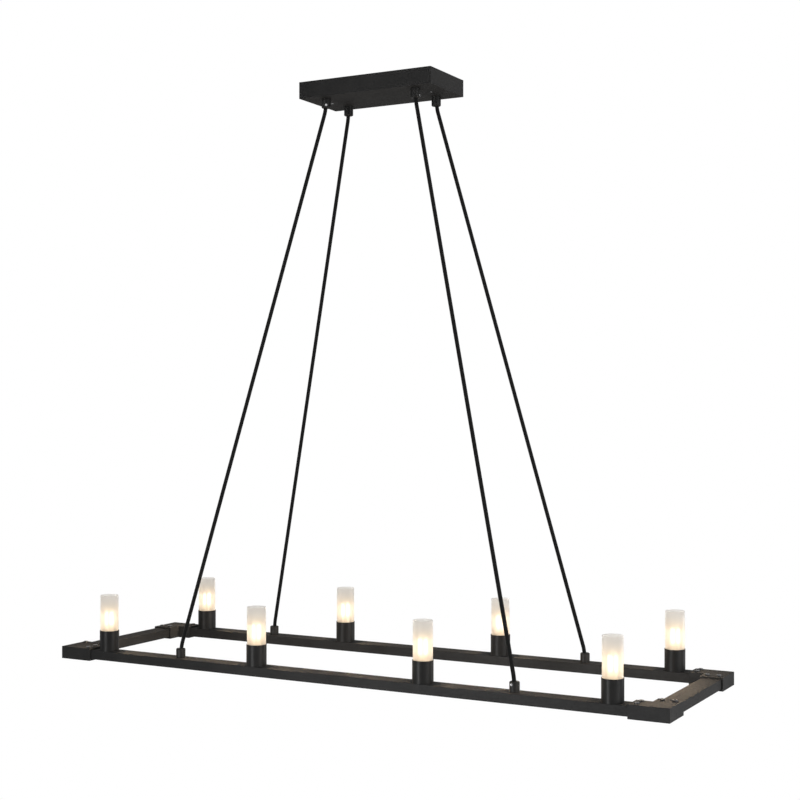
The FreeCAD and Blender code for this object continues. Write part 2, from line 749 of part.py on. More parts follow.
def pin_lamp(label):
    """Small LED lamp: a domed tube on a flat foot with two pins."""
    foot_z = "(holder_top + seat_gap)"
    tube_z = "(%s + lamp_foot_height)" % foot_z
    shoulder = "(lamp_top - lamp_dia/2)"
    body = revolve(label + "_tube", [
        ("0", tube_z), ("lamp_dia/2 - lamp_edge", tube_z), ("lamp_dia/2", tube_z + " + lamp_edge"),
        ("lamp_dia/2", shoulder), ("lamp_dia/2*0.92", shoulder + " + lamp_dia*0.2"),
        ("lamp_dia/2*0.7", shoulder + " + lamp_dia*0.36"), ("lamp_dia/2*0.38", shoulder + " + lamp_dia*0.46"),
        ("0", "lamp_top")])
    foot = box(label + "_foot", "lamp_foot_width", "lamp_foot_depth", "lamp_foot_height")
    foot.setExpression("Placement.Base.z", bound(foot_z))
    pins = []
    for _, sx in ENDS:
        pin = rod(label + "_pin", "pin_dia/2", "pin_length + lamp_foot_height/2")
        pins.append(place(pin, "%d*pin_pitch/2" % sx, "0", foot_z + " - pin_length"))
    return join(label, [body, foot] + pins)


def lamps():
    nipples, nuts = [], []
    for side, sy in SIDES:
        y = "%d*%s" % (sy, RAIL_Y)
        holders = []
        for number, x in enumerate(LAMP_X, start=1):
            tag = "%s_%d" % (side, number)
            node(place(lamp_cup("cup_" + tag), x, y, RAIL_TOP), "lamp_cup_" + tag)
            node(place(glass_shade("glass_" + tag), x, y, RAIL_TOP), "glass_shade_" + tag)
            node(place(pin_lamp("lamp_" + tag), x, y, RAIL_TOP), "led_lamp_" + tag)
            holders.append(place(lamp_holder(), x, y, RAIL_TOP))
            nipples.append(place(threaded_nipple(), x, y, RAIL_TOP))
            nuts.append(place(lock_nut(), x, y, RAIL_TOP + " + cup_floor"))
            nuts.append(place(lock_nut(), x, y, RAIL_TOP + " - tube_wall - nut_height"))
        node(group("holders_" + side, holders), "lamp_holders_" + side)
    node(group("nipples", nipples), "lamp_nipples")
    node(group("nipple_nuts_group", nuts), "nipple_nuts")


def rail_wiring():
    """A wire along each long rail's floor, with risers into the nipples and to the cords."""
    axis_z = "(%s - tube_height + tube_wall + wire_gap + wire_dia/2)" % RAIL_TOP
    for side, sy in SIDES:
        y = "%d*%s" % (sy, RAIL_Y)
        reach = "(1.5*%s + wire_overrun)" % LAMP_PITCH
        run = rod("wire_run", "wire_dia/2", "2*" + reach)
        place(run, "-" + reach, y, axis_z)
        run.Placement.Rotation = FreeCAD.Rotation(Vector(0, 0, 1), Vector(1, 0, 0))
        pieces = [run]
        lamp_rise = "(nipple_above - wire_gap + %s - %s)" % (RAIL_TOP, axis_z)
        cord_rise = "(%s - spigot_length - cord_past - seat_gap - %s)" % (RAIL_TOP, axis_z)
        risers = [(x, lamp_rise) for x in LAMP_X]
        risers += [("%d*%s" % (sx, CORD_X), cord_rise) for _, sx in ENDS]
        for x, rise in risers:
            riser = rod("wire_riser", "riser_dia/2", rise)
            pieces.append(place(riser, x, y, axis_z))
        node(join("wiring_" + side, pieces), "rail_wiring_" + side)


# ---------------------------------------------------------------- build, test and write
canopy_shell()
mounting_bracket()
bracket_posts()
canopy_screws()
terminal_block()
canopy_leads()
grips_and_nuts()
cords()
rails()
connectors()
corner_fasteners()
lamps()
rail_wiring()
doc.recompute()

for thing in doc.Objects:
    if {"Invalid", "Error"} & set(thing.State):
        raise RuntimeError("%s failed: %s" % (thing.Label, thing.State))
for thing in nodes:
    if thing.Shape.isNull() or not thing.Shape.isValid() or not thing.Shape.Solids:
        raise RuntimeError("%s has no valid solid" % thing.Label)

os.makedirs("parts", exist_ok=True)
for thing in nodes:
    thing.Shape.exportStep("parts/%s.step" % thing.Label)
print("%d sub-parts, %d solids" % (len(nodes), sum(len(thing.Shape.Solids) for thing in nodes)))
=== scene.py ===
"""Linear island pendant: materials, braided cords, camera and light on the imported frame.

Metres, in the frame's own axes: +X along the long rails, -Y is the front, z = 0 is the ceiling.
"""
import bpy
import math
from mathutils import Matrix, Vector


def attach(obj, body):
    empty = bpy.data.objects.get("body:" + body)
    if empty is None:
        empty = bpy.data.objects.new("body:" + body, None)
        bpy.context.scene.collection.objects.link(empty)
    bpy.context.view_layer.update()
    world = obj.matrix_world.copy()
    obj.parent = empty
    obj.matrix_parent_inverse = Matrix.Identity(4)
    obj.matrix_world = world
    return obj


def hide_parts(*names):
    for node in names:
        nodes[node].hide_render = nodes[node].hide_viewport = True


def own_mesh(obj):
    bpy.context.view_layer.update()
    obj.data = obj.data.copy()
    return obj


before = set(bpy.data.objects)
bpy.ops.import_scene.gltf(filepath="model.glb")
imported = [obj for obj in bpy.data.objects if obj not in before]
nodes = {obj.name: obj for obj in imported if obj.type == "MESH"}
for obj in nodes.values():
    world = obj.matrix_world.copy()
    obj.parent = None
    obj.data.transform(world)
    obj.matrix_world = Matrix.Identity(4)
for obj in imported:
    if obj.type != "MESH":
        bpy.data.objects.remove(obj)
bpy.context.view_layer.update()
scene = bpy.context.scene

# ---------------------------------------------------------------- sizes, as in the solids
DROP = 1.050                 # from the ceiling to the top of the rails
LAMP_PITCH = 0.334
RAIL_Y = 0.1545              # middle of a long rail
GRIP_X = 0.092               # a canopy grip, from the canopy's middle
GRIP_Y = 0.040
CANOPY_HEIGHT = 0.030
GRIP_HEIGHT = 0.017
CORD_INSIDE = 0.026          # upright stretch inside a grip and its spigot
CORD_DIA = 0.007
CUP_HEIGHT = 0.038
LAMP_FOOT = 0.0243           # underside of the lamp's foot, above the rail
LAMP_TUBE = 0.0313           # where the lamp's lit tube starts
LAMP_TOP = 0.082
UPPER_MOUTH = CANOPY_HEIGHT + GRIP_HEIGHT        # an upper grip's mouth, below the ceiling

SIDES = (("front", -1), ("back", 1))
ENDS = (("left", -1), ("right", 1))

# ---------------------------------------------------------------- node graph helpers
NOISE_LOW, NOISE_HIGH = 0.3, 0.7             # nearly all of a noise texture's values lie between
MIX_FIRST, MIX_SECOND, MIX_RESULT = 6, 7, 2  # the Mix node's colour sockets
BEVEL_SAMPLES = 4


def graph(name):
    """A new material and its empty node tree."""
    material = bpy.data.materials.new(name)
    material.use_nodes = True
    material.node_tree.nodes.clear()
    return material, material.node_tree


def put(tree, kind, inputs=None, **settings):
    """A new node with its settings, and inputs given as values or as sockets to link."""
    made = tree.nodes.new("ShaderNode" + kind)
    for name, value in settings.items():
        setattr(made, name, value)
    for name, value in (inputs or {}).items():
        if isinstance(value, bpy.types.NodeSocket):
            tree.links.new(value, made.inputs[name])
        else:
            made.inputs[name].default_value = value
    return made


def calc(tree, operation, *values):
    """The result of one math node."""
    return put(tree, "Math", dict(enumerate(values)), operation=operation).outputs[0]


def noise(tree, scale, seed, detail=3.0, rough=0.6, vector=None):
    """Noise over object space, or over the given vector, moved aside by its seed."""
    if vector is None:
        vector = put(tree, "TexCoord").outputs["Object"]
    aside = (seed, 0.7 * seed, 1.3 * seed)
    moved = put(tree, "VectorMath", {0: vector, 1: aside}, operation="ADD").outputs[0]
    return put(tree, "TexNoise", {"Vector": moved, "Scale": scale, "Detail": detail,
                                  "Roughness": rough}).outputs["Fac"]


def span(tree, value, low, high, start=0.0, end=1.0, curve="LINEAR"):
    """The value from start to end mapped onto low to high."""
    return put(tree, "MapRange", {"Value": value, "From Min": start, "From Max": end,
                                  "To Min": low, "To Max": high},
               interpolation_type=curve).outputs["Result"]


def varied(tree, pattern, low, high):
    """A noise pattern spread over low to high."""
    return span(tree, pattern, low, high, NOISE_LOW, NOISE_HIGH)


def blend_colour(tree, factor, first, second):
    inputs = {0: factor, MIX_FIRST: first, MIX_SECOND: second}
    return put(tree, "Mix", inputs, data_type="RGBA").outputs[MIX_RESULT]


def bump(tree, height, depth, strength=1.0, normal=None):
    inputs = {"Height": height, "Distance": depth, "Strength": strength}
    if normal is not None:
        inputs["Normal"] = normal
    return put(tree, "Bump", inputs).outputs["Normal"]


def rounded_normal(tree, radius):
    """The surface's normal, with its edges rounded to a radius."""
    return put(tree, "Bevel", {"Radius": radius}, samples=BEVEL_SAMPLES).outputs["Normal"]


def principled(tree, inputs):
    return put(tree, "BsdfPrincipled", inputs).outputs[0]


def mix_shader(tree, factor, first, second):
    return put(tree, "MixShader", {0: factor, 1: first, 2: second}).outputs[0]


def finish_surface(tree, shader):
    put(tree, "OutputMaterial", {"Surface": shader})


def grey(value, warm=0.0):
    return (value * (1 + warm), value, value * (1 - warm), 1.0)


def shade(colour, factor):
    """The colour made darker by a factor."""
    return tuple(factor * channel for channel in colour[:3]) + (1.0,)


# ---------------------------------------------------------------- materials
# Noise scales are in cells per metre, and bump depths in metres.

FLAT_COSINE, EDGE_COSINE = 0.995, 0.82   # true against rounded normal, on a flat and on an edge
EDGE_TONE, EDGE_WEIGHT = 2.4, 0.30       # the lighter tone of an edge, and how much of it shows
EDGE_SMOOTHER = 0.08
COAT_WARMTH = 0.02
SPECK_RANGE = (0.60, 0.72)               # noise values where a pale speck starts and is full
SPECK_TONE, SPECK_WEIGHT = 1.9, 0.35
GRAZING_RANGE = (0.45, 0.90)             # Facing values between which a coat dulls
GRAZING_ROUGHER = 0.34
CLOUD_SCALE = 14.0
PEEL_SCALE, PEEL_DEPTH, PEEL_STRENGTH = 310.0, 0.00001, 0.5
GRAIN_DEPTH, GRAIN_STRENGTH = 0.00006, 0.7


def powder_coat(name, dark, light, seed, grain=2400.0, rough=(0.44, 0.58), edge=0.0006,
                gloss=0.07):
    """Black powder coat: a dense grain, a faint orange peel, and a lighter, smoother edge."""
    material, tree = graph(name)
    rounded = rounded_normal(tree, edge)
    true_normal = put(tree, "NewGeometry").outputs["Normal"]
    facing = put(tree, "VectorMath", {0: rounded, 1: true_normal},
                 operation="DOT_PRODUCT").outputs["Value"]
    at_edge = span(tree, facing, 1.0, 0.0, EDGE_COSINE, FLAT_COSINE)
    grains = noise(tree, grain, seed)
    peel = noise(tree, PEEL_SCALE, seed + 3, detail=2.0, rough=0.5)
    cloud = noise(tree, CLOUD_SCALE, seed + 7, rough=0.55)
    specks = noise(tree, grain / 2, seed + 11, detail=1.0, rough=0.5)
    speck = span(tree, specks, 0.0, 1.0, *SPECK_RANGE)
    base = blend_colour(tree, varied(tree, cloud, 0.0, 1.0), grey(dark), grey(light, COAT_WARMTH))
    base = blend_colour(tree, calc(tree, "MULTIPLY", speck, SPECK_WEIGHT), base,
                        grey(light * SPECK_TONE))
    base = blend_colour(tree, calc(tree, "MULTIPLY", at_edge, EDGE_WEIGHT), base,
                        grey(light * EDGE_TONE))
    roughness = varied(tree, peel, *rough)
    roughness = calc(tree, "SUBTRACT", roughness,
                     calc(tree, "MULTIPLY", at_edge, EDGE_SMOOTHER))
    turned = put(tree, "LayerWeight", {"Blend": 0.5}).outputs["Facing"]
    roughness = calc(tree, "ADD", roughness,
                     span(tree, turned, 0.0, GRAZING_ROUGHER, *GRAZING_RANGE))
    normal = bump(tree, peel, PEEL_DEPTH, PEEL_STRENGTH, rounded)
    normal = bump(tree, grains, GRAIN_DEPTH, GRAIN_STRENGTH, normal)
    finish_surface(tree, principled(tree, {
        "Base Color": base, "Roughness": roughness, "Normal": normal,
        "Specular IOR Level": gloss, "IOR": 1.5}))
    return material


STREAK_STRETCH = (1.0, 14.0, 14.0)       # streaks run along the rails
STREAK_SCALE, STREAK_DEPTH = 260.0, 0.00003
STAIN_SCALE = 55.0
STAIN_DARKER, STAIN_ROUGHER = 0.72, 0.06
FLAKE_SCALE, FLAKE_ROUGHER = 420.0, 0.1
TONE_REACH = 0.7                         # of stains and flakes together, either way


def metal(name, colour, rough, seed, streak=0.0, spangle=0.0, edge=0.0002):
    """Plated or bare steel with fine streaks, or with the flakes of galvanised sheet."""
    material, tree = graph(name)
    rounded = rounded_normal(tree, edge)
    where = put(tree, "TexCoord").outputs["Object"]
    along = put(tree, "Mapping", {"Vector": where, "Scale": STREAK_STRETCH}).outputs[0]
    streaks = noise(tree, STREAK_SCALE, seed, detail=4.0, vector=along)
    stains = noise(tree, STAIN_SCALE, seed + 5)
    flakes = put(tree, "TexVoronoi", {"Vector": where, "Scale": FLAKE_SCALE}).outputs["Color"]
    flake = put(tree, "SeparateColor", {"Color": flakes}).outputs[0]
    tone = calc(tree, "ADD", varied(tree, stains, -0.5, 0.5),
                calc(tree, "MULTIPLY", calc(tree, "SUBTRACT", flake, 0.5), spangle))
    base = blend_colour(tree, span(tree, tone, 0.0, 1.0, -TONE_REACH, TONE_REACH),
                        shade(colour, STAIN_DARKER), colour)
    stained = varied(tree, stains, -STAIN_ROUGHER, STAIN_ROUGHER)
    flaked = calc(tree, "MULTIPLY", flake, FLAKE_ROUGHER * spangle)
    roughness = calc(tree, "ADD", calc(tree, "ADD", rough, stained), flaked)
    normal = bump(tree, streaks, STREAK_DEPTH, streak, rounded)
    finish_surface(tree, principled(tree, {
        "Base Color": base, "Metallic": 1.0, "Roughness": roughness, "Normal": normal}))
    return material


MOULD_CLOUD_SCALE, MOULD_DARKER, MOULD_ROUGHER = 70.0, 0.82, 0.06
DOT_SCALE = 1500.0
DOT_RANGE = (0.66, 0.74)                 # noise values where a dark dot starts and is full
DOT_COLOUR = (0.2, 0.17, 0.14, 1.0)


def moulded(name, colour, rough, seed, grain=900.0, depth=0.00003, speckle=0.0, edge=0.0004):
    """Moulded plastic, rubber or unglazed ceramic, with an optional dark speckle."""
    material, tree = graph(name)
    rounded = rounded_normal(tree, edge)
    cloud = noise(tree, MOULD_CLOUD_SCALE, seed + 2, rough=0.5)
    dots = noise(tree, DOT_SCALE, seed + 9, detail=1.0, rough=0.5)
    base = blend_colour(tree, varied(tree, cloud, 0.0, 1.0), shade(colour, MOULD_DARKER), colour)
    base = blend_colour(tree, span(tree, dots, 0.0, speckle, *DOT_RANGE), base, DOT_COLOUR)
    roughness = varied(tree, cloud, rough - MOULD_ROUGHER, rough + MOULD_ROUGHER)
    normal = bump(tree, noise(tree, grain, seed), depth, GRAIN_STRENGTH, rounded)
    finish_surface(tree, principled(tree, {
        "Base Color": base, "Roughness": roughness, "Normal": normal}))
    return material


STRANDS = 10.0                           # of each set, round the cord
BRAID_SLOPE = 0.9                        # a strand's turns along the cord against those round it
# The valley colour is painted shade: darker where the strands dip between each other.
BRAID_VALLEY_SHADE, BRAID_RIDGE, BRAID_WORN = grey(0.004), grey(0.010, 0.02), grey(0.016, 0.02)
WORN_SCALE, WORN_WEIGHT, WORN_RANGE = 120.0, 0.35, (0.4, 0.75)
RIDGE_DEPTH, RIDGE_STRENGTH = 0.00045, 0.8
FIBRE_SCALE, FIBRE_DEPTH, FIBRE_STRENGTH = 5200.0, 0.00006, 0.6


def braid(name):
    """Black braided textile: two sets of strands that cross over each other round the cord, with
    painted shade in the valleys between them.
    """
    material, tree = graph(name)
    split = put(tree, "SeparateXYZ", {"Vector": put(tree, "UVMap", uv_map="braid").outputs[0]})
    around, forward = split.outputs[0], split.outputs[1]
    turns = calc(tree, "MULTIPLY", around, STRANDS)
    along = calc(tree, "MULTIPLY", forward, STRANDS / (math.pi * CORD_DIA) * BRAID_SLOPE)
    first = calc(tree, "PINGPONG", calc(tree, "ADD", turns, along), 0.5)
    second = calc(tree, "PINGPONG", calc(tree, "SUBTRACT", turns, along), 0.5)
    swing = calc(tree, "SINE", calc(tree, "MULTIPLY", along, 2 * math.pi))
    over = calc(tree, "GREATER_THAN", swing, 0.0)
    under = calc(tree, "SUBTRACT", 1.0, over)
    ridge = calc(tree, "ADD", calc(tree, "MULTIPLY", first, over),
                 calc(tree, "MULTIPLY", second, under))
    fibres = noise(tree, FIBRE_SCALE, 2.0, rough=0.7)
    worn = span(tree, noise(tree, WORN_SCALE, 6.0), 0.0, WORN_WEIGHT, *WORN_RANGE)
    # Painted shade: darker towards the valleys between the strands.
    base = blend_colour(tree, span(tree, ridge, 0.0, 1.0, 0.0, 0.5), BRAID_VALLEY_SHADE, BRAID_RIDGE)
    base = blend_colour(tree, worn, base, BRAID_WORN)
    normal = bump(tree, ridge, RIDGE_DEPTH, RIDGE_STRENGTH)
    normal = bump(tree, fibres, FIBRE_DEPTH, FIBRE_STRENGTH, normal)
    finish_surface(tree, principled(tree, {
        "Base Color": base, "Roughness": 0.62, "Normal": normal, "Sheen Weight": 0.03,
        "Sheen Roughness": 0.45, "Specular IOR Level": 0.10}))
    return material


def place_in_frame(tree):
    """Sockets for the point's x, y and z in the frame."""
    return put(tree, "SeparateXYZ", {"Vector": put(tree, "TexCoord").outputs["Object"]}).outputs


def above_rail(tree):
    """Socket for the height above the top of the rails."""
    return calc(tree, "ADD", place_in_frame(tree)[2], DROP)


def round_lamp(tree):
    """Socket for the angle about the nearest lamp's axis."""
    place = place_in_frame(tree)
    half = LAMP_PITCH / 2
    x = calc(tree, "WRAP", calc(tree, "SUBTRACT", place[0], half), half, -half)
    rail_y = calc(tree, "MULTIPLY", calc(tree, "SIGN", place[1]), RAIL_Y)
    return calc(tree, "ARCTAN2", calc(tree, "SUBTRACT", place[1], rail_y), x)


STRIPS = 4.0                             # lit strips round the lamp's tube
STRIP_TURN = math.radians(106)           # from the frame's x axis
STRIP_EDGE, STRIP_FULL = -1.0, -0.45     # on the cosine wave round the tube
STRIP_FOOT = (0.013, 0.020)              # where the strips come on, above the tube's start
STRIP_HEAD = (0.011, 0.007)              # and go off, below its top
STRIP_POWER, TUBE_POWER = 2.3, 0.30
TUBE_FOOT = (-0.0005, 0.001)             # where the tube's glow comes on, about its start
MOTTLE_SCALE, MOTTLE_DIM = 600.0, 0.94
HAZE_SCALE, HAZE_DEPTH, HAZE_STRENGTH = 1400.0, 0.00003, 0.5
TUBE_GLOW, STRIP_GLOW = (1.0, 0.80, 0.52, 1.0), (1.0, 0.96, 0.88, 1.0)
TUBE_COLOUR, PIN_COLOUR = (0.86, 0.82, 0.74, 1.0), (0.70, 0.68, 0.64, 1.0)


def led_lamp(name):
    """Small lamp: bright pins, a pale foot, and a milky tube with four lit strips."""
    material, tree = graph(name)
    height = above_rail(tree)
    angle = calc(tree, "MULTIPLY", calc(tree, "ADD", round_lamp(tree), STRIP_TURN), STRIPS)
    strips = span(tree, calc(tree, "COSINE", angle), 0.0, 1.0, STRIP_EDGE, STRIP_FULL)
    foot = span(tree, height, 0.0, 1.0, *(LAMP_TUBE + rise for rise in STRIP_FOOT))
    head = span(tree, height, 1.0, 0.0, *(LAMP_TOP - fall for fall in STRIP_HEAD))
    lit = calc(tree, "MULTIPLY", strips, calc(tree, "MULTIPLY", foot, head))
    mottle = noise(tree, MOTTLE_SCALE, 1.0, detail=2.0, rough=0.5)
    mottle = varied(tree, mottle, MOTTLE_DIM, 1.0)
    power = calc(tree, "ADD", calc(tree, "MULTIPLY", lit, STRIP_POWER), TUBE_POWER)
    tube = span(tree, height, 0.0, 1.0, *(LAMP_TUBE + rise for rise in TUBE_FOOT))
    power = calc(tree, "MULTIPLY", calc(tree, "MULTIPLY", power, mottle), tube)
    haze = noise(tree, HAZE_SCALE, 4.0, detail=2.0, rough=0.5)
    normal = bump(tree, haze, HAZE_DEPTH, HAZE_STRENGTH)
    milky = principled(tree, {
        "Base Color": TUBE_COLOUR, "Roughness": 0.38, "Normal": normal,
        "Emission Color": blend_colour(tree, lit, TUBE_GLOW, STRIP_GLOW),
        "Emission Strength": power})
    pin = principled(tree, {
        "Base Color": PIN_COLOUR, "Metallic": 1.0, "Roughness": 0.28, "Normal": normal})
    is_pin = calc(tree, "LESS_THAN", height, LAMP_FOOT)
    finish_surface(tree, mix_shader(tree, is_pin, milky, pin))
    return material


# The halo is painted light: a warm tint and a faint glow in the glass where the lamp inside would
# light it.
HALO_FOOT = (-0.012, -0.002)             # where the halo comes on, about the cup's rim
HALO_HEAD = (0.066, 0.100)               # and fades, above the rail
PAINTED_HALO_COLOUR, PAINTED_HALO_POWER = (1.0, 0.86, 0.66, 1.0), 0.06
GLASS_COOL, GLASS_PAINTED_WARM_LIGHT = (0.86, 0.835, 0.80, 1.0), (0.91, 0.83, 0.73, 1.0)
GLASS_SHADOW = (0.82, 0.80, 0.76, 1.0)
GLASS_SKIN = grey(0.82)
GLASS_CLOUD_SCALE = 60.0
ETCH_ROUGHNESS = (0.36, 0.41)
ETCH_SCALE, ETCH_DEPTH, ETCH_STRENGTH = 2600.0, 0.00004, 0.6
MILK, SKIN = 0.30, 0.10                  # shares that scatter light in the glass and on it


def frosted_glass(name):
    """Acid-etched glass: scatters what is behind it; the halo about the lamp inside is painted, as
    a warm tint and a faint glow of the glass's own.
    """
    material, tree = graph(name)
    height = above_rail(tree)
    cloud = noise(tree, GLASS_CLOUD_SCALE, 8.0, rough=0.5)
    normal = bump(tree, noise(tree, ETCH_SCALE, 2.0), ETCH_DEPTH, ETCH_STRENGTH)
    rising = span(tree, height, 0.0, 1.0, *(CUP_HEIGHT + rise for rise in HALO_FOOT))
    fading = span(tree, height, 1.0, 0.0, *HALO_HEAD, curve="SMOOTHSTEP")
    # Painted light: the glass is tinted warm where the lamp inside would light it.
    painted_halo = calc(tree, "MULTIPLY", rising, fading)
    tint_and_painted_halo = blend_colour(tree, painted_halo, GLASS_COOL, GLASS_PAINTED_WARM_LIGHT)
    clear = principled(tree, {
        "Base Color": tint_and_painted_halo, "Roughness": varied(tree, cloud, *ETCH_ROUGHNESS), "IOR": 1.25,
        "Transmission Weight": 1.0, "Normal": normal})
    milk = put(tree, "BsdfTranslucent", {"Color": tint_and_painted_halo, "Normal": normal}).outputs[0]
    skin = principled(tree, {"Base Color": GLASS_SKIN, "Roughness": 0.5, "Normal": normal})
    body = mix_shader(tree, SKIN, mix_shader(tree, MILK, clear, milk), skin)
    # Painted glow: the glass gives off light of its own in the halo.
    painted_glow = put(tree, "Emission", {"Color": PAINTED_HALO_COLOUR,
                                  "Strength": calc(tree, "MULTIPLY", painted_halo, PAINTED_HALO_POWER)})
    lit = put(tree, "AddShader", {0: body, 1: painted_glow.outputs[0]}).outputs[0]
    through = put(tree, "BsdfTransparent", {"Color": GLASS_SHADOW}).outputs[0]
    is_shadow = put(tree, "LightPath").outputs["Is Shadow Ray"]
    finish_surface(tree, mix_shader(tree, is_shadow, lit, through))
    return material


FINE = {"grain": 2700.0, "rough": (0.30, 0.40), "edge": 0.0003}      # the smaller, smoother pieces
coat_frame = powder_coat("coat_frame", dark=0.006, light=0.011, seed=0.0)
coat_corner = powder_coat("coat_corner", dark=0.007, light=0.013, seed=21.0, grain=2100.0)
coat_cup = powder_coat("coat_cup", dark=0.005, light=0.008, seed=43.0, gloss=0.07, **FINE)
coat_grip = powder_coat("coat_grip", dark=0.005, light=0.009, seed=57.0, gloss=0.09, **FINE)
coat_canopy = powder_coat("coat_canopy", dark=0.008, light=0.013, seed=71.0, gloss=0.06)
screw_black = metal("screw_black", (0.035, 0.035, 0.036, 1.0), rough=0.30, seed=3.0, streak=0.5)
steel_bright = metal("steel_bright", (0.66, 0.66, 0.67, 1.0), rough=0.24, seed=5.0, streak=0.8)
steel_zinc = metal("steel_zinc", (0.58, 0.59, 0.61, 1.0), rough=0.36, seed=9.0, streak=0.3,
                   spangle=0.8)
lead_skin = moulded("lead_skin", (0.045, 0.045, 0.048, 1.0), rough=0.52, seed=4.0)
terminal_skin = moulded("terminal_skin", (0.80, 0.79, 0.76, 1.0), rough=0.42, seed=6.0)
holder_skin = moulded("holder_skin", (0.78, 0.75, 0.69, 1.0), rough=0.66, seed=8.0,
                      grain=1300.0, depth=0.00005, speckle=0.4)
cord_braid = braid("cord_braid")
lamp_skin = led_lamp("lamp_skin")
glass_skin = frosted_glass("glass_skin")

# By how a node's name starts; the rails are left with the frame's coat.
FINISHES = {
    "canopy_shell": coat_canopy, "upper_cord_grips": coat_grip, "lower_cord_grips": coat_grip,
    "corner_connector": coat_corner, "lamp_cup": coat_cup,
    "canopy_screws": screw_black, "corner_screws": screw_black,
    "upper_grub_screws": steel_bright, "lower_grub_screws": steel_bright,
    "mounting_bracket": steel_zinc, "bracket_posts": steel_zinc, "upper_grip_nuts": steel_zinc,
    "lower_grip_nuts": steel_zinc, "corner_nut_bars": steel_zinc, "lamp_nipples": steel_zinc,
    "nipple_nuts": steel_zinc,
    "terminal_block": terminal_skin, "lamp_holders": holder_skin,
    "canopy_leads": lead_skin, "rail_wiring": lead_skin,
    "glass_shade": glass_skin, "led_lamp": lamp_skin, "cord_": cord_braid,
}
for name, piece in nodes.items():
    finishes = [finish for start, finish in FINISHES.items() if name.startswith(start)]
    piece.data.materials.clear()
    piece.data.materials.append(finishes[0] if finishes else coat_frame)

# ---------------------------------------------------------------- cords
SPLINE_STEPS = 24
CORD_SIDES = 28


def cord_points(sx, sy):
    """The cord's route: down inside the canopy's grip, taut to the rail, into the lower grip.

    The long run has a point near each grip, as far from its mouth as the cord's end is.
    """
    mouth = Vector((sx * GRIP_X, sy * GRIP_Y, -UPPER_MOUTH))
    foot = Vector((sx * LAMP_PITCH, sy * RAIL_Y, -DROP + GRIP_HEIGHT))
    inside = Vector((0, 0, CORD_INSIDE))
    beside = (foot - mouth).normalized() * CORD_INSIDE
    return [mouth + inside, mouth, mouth + beside, foot - beside, foot, foot - inside]


def smooth_line(points, name):
    """Points read from the quadratic spline whose control points are the route's."""
    curve = bpy.data.curves.new(name, "CURVE")
    curve.dimensions = "3D"
    spline = curve.splines.new("NURBS")
    spline.points.add(len(points) - 1)
    for point, place in zip(spline.points, points):
        point.co = (*place, 1.0)
    spline.order_u = 3
    spline.use_endpoint_u = True
    spline.resolution_u = SPLINE_STEPS
    holder = bpy.data.objects.new(name, curve)
    mesh = bpy.data.meshes.new_from_object(holder)
    line = [vertex.co.copy() for vertex in mesh.vertices]
    bpy.data.objects.remove(holder)
    bpy.data.curves.remove(curve)
    bpy.data.meshes.remove(mesh)
    return line


def cord_rings(line):
    """Rings of points round the line, and how far along it each one is."""
    angles = [2 * math.pi * k / CORD_SIDES for k in range(CORD_SIDES)]
    rings, travelled = [], [0.0]
    for i, place in enumerate(line):
        ahead = (line[min(i + 1, len(line) - 1)] - line[max(i - 1, 0)]).normalized()
        side = ahead.cross(Vector((0, 1, 0))).normalized()
        other = ahead.cross(side).normalized()
        rings.append([place + (side * math.cos(a) + other * math.sin(a)) * CORD_DIA / 2
                      for a in angles])
        if i:
            travelled.append(travelled[-1] + (place - line[i - 1]).length)
    return rings, travelled


def cord_mesh(line, name):
    """A closed tube along the line with a map for the braid: once round, and metres along."""
    rings, travelled = cord_rings(line)
    sides, last = CORD_SIDES, len(line) - 1
    faces, coords = [], []
    for i in range(last):
        for k in range(sides):
            n = (k + 1) % sides
            faces.append((i * sides + k, i * sides + n, (i + 1) * sides + n, (i + 1) * sides + k))
            coords += [(k / sides, travelled[i]), ((k + 1) / sides, travelled[i]),
                       ((k + 1) / sides, travelled[i + 1]), (k / sides, travelled[i + 1])]
    for ring in (0, last):
        cap = [ring * sides + k for k in range(sides)]
        faces.append(tuple(cap if ring else reversed(cap)))
        coords += [(0.5, travelled[ring])] * sides
    mesh = bpy.data.meshes.new(name)
    mesh.from_pydata([tuple(point) for ring in rings for point in ring], [], faces)
    for loop, coord in zip(mesh.uv_layers.new(name="braid").data, coords):
        loop.uv = coord
    for face in mesh.polygons:
        face.use_smooth = len(face.vertices) == 4
    mesh.materials.append(cord_braid)
    return bpy.data.objects.new(name, mesh)


for side, sy in SIDES:
    for end, sx in ENDS:
        name = "braided_cord_%s_%s" % (side, end)
        line = smooth_line(cord_points(sx, sy), name)
        cord = cord_mesh(line, name)
        scene.collection.objects.link(cord)
        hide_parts("cord_%s_%s" % (side, end))
        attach(cord, "suspension")
        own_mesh(cord)

# ---------------------------------------------------------------- camera
PICTURE = 800                # the photograph's width and height in pixels
FOCAL_PIXELS = 1455.9        # from the fit of the frame's edges and the lamps in it
HORIZON_PIXEL = 405.75
SENSOR = 36.0
CAMERA_PLACE = (1.2968, -2.3033, 0.4612 - DROP)
CAMERA_TURN = 28.634         # degrees from +Y towards -X
CLIP = (0.05, 50.0)

data = bpy.data.cameras.new("photo_camera")
data.sensor_width = SENSOR
data.lens = SENSOR * FOCAL_PIXELS / PICTURE
data.shift_y = (HORIZON_PIXEL - PICTURE / 2) / PICTURE
data.clip_start, data.clip_end = CLIP
camera = bpy.data.objects.new("photo_camera", data)
camera.location = CAMERA_PLACE
camera.rotation_euler = (math.radians(90), 0, math.radians(CAMERA_TURN))
scene.collection.objects.link(camera)
scene.camera = camera

# ---------------------------------------------------------------- light
BULB_POWER = 1.3
BULB_COLOUR = (1.0, 0.77, 0.54)
BULB_RADIUS = 0.008
BULB_FALL = 0.014            # below the lamp's top


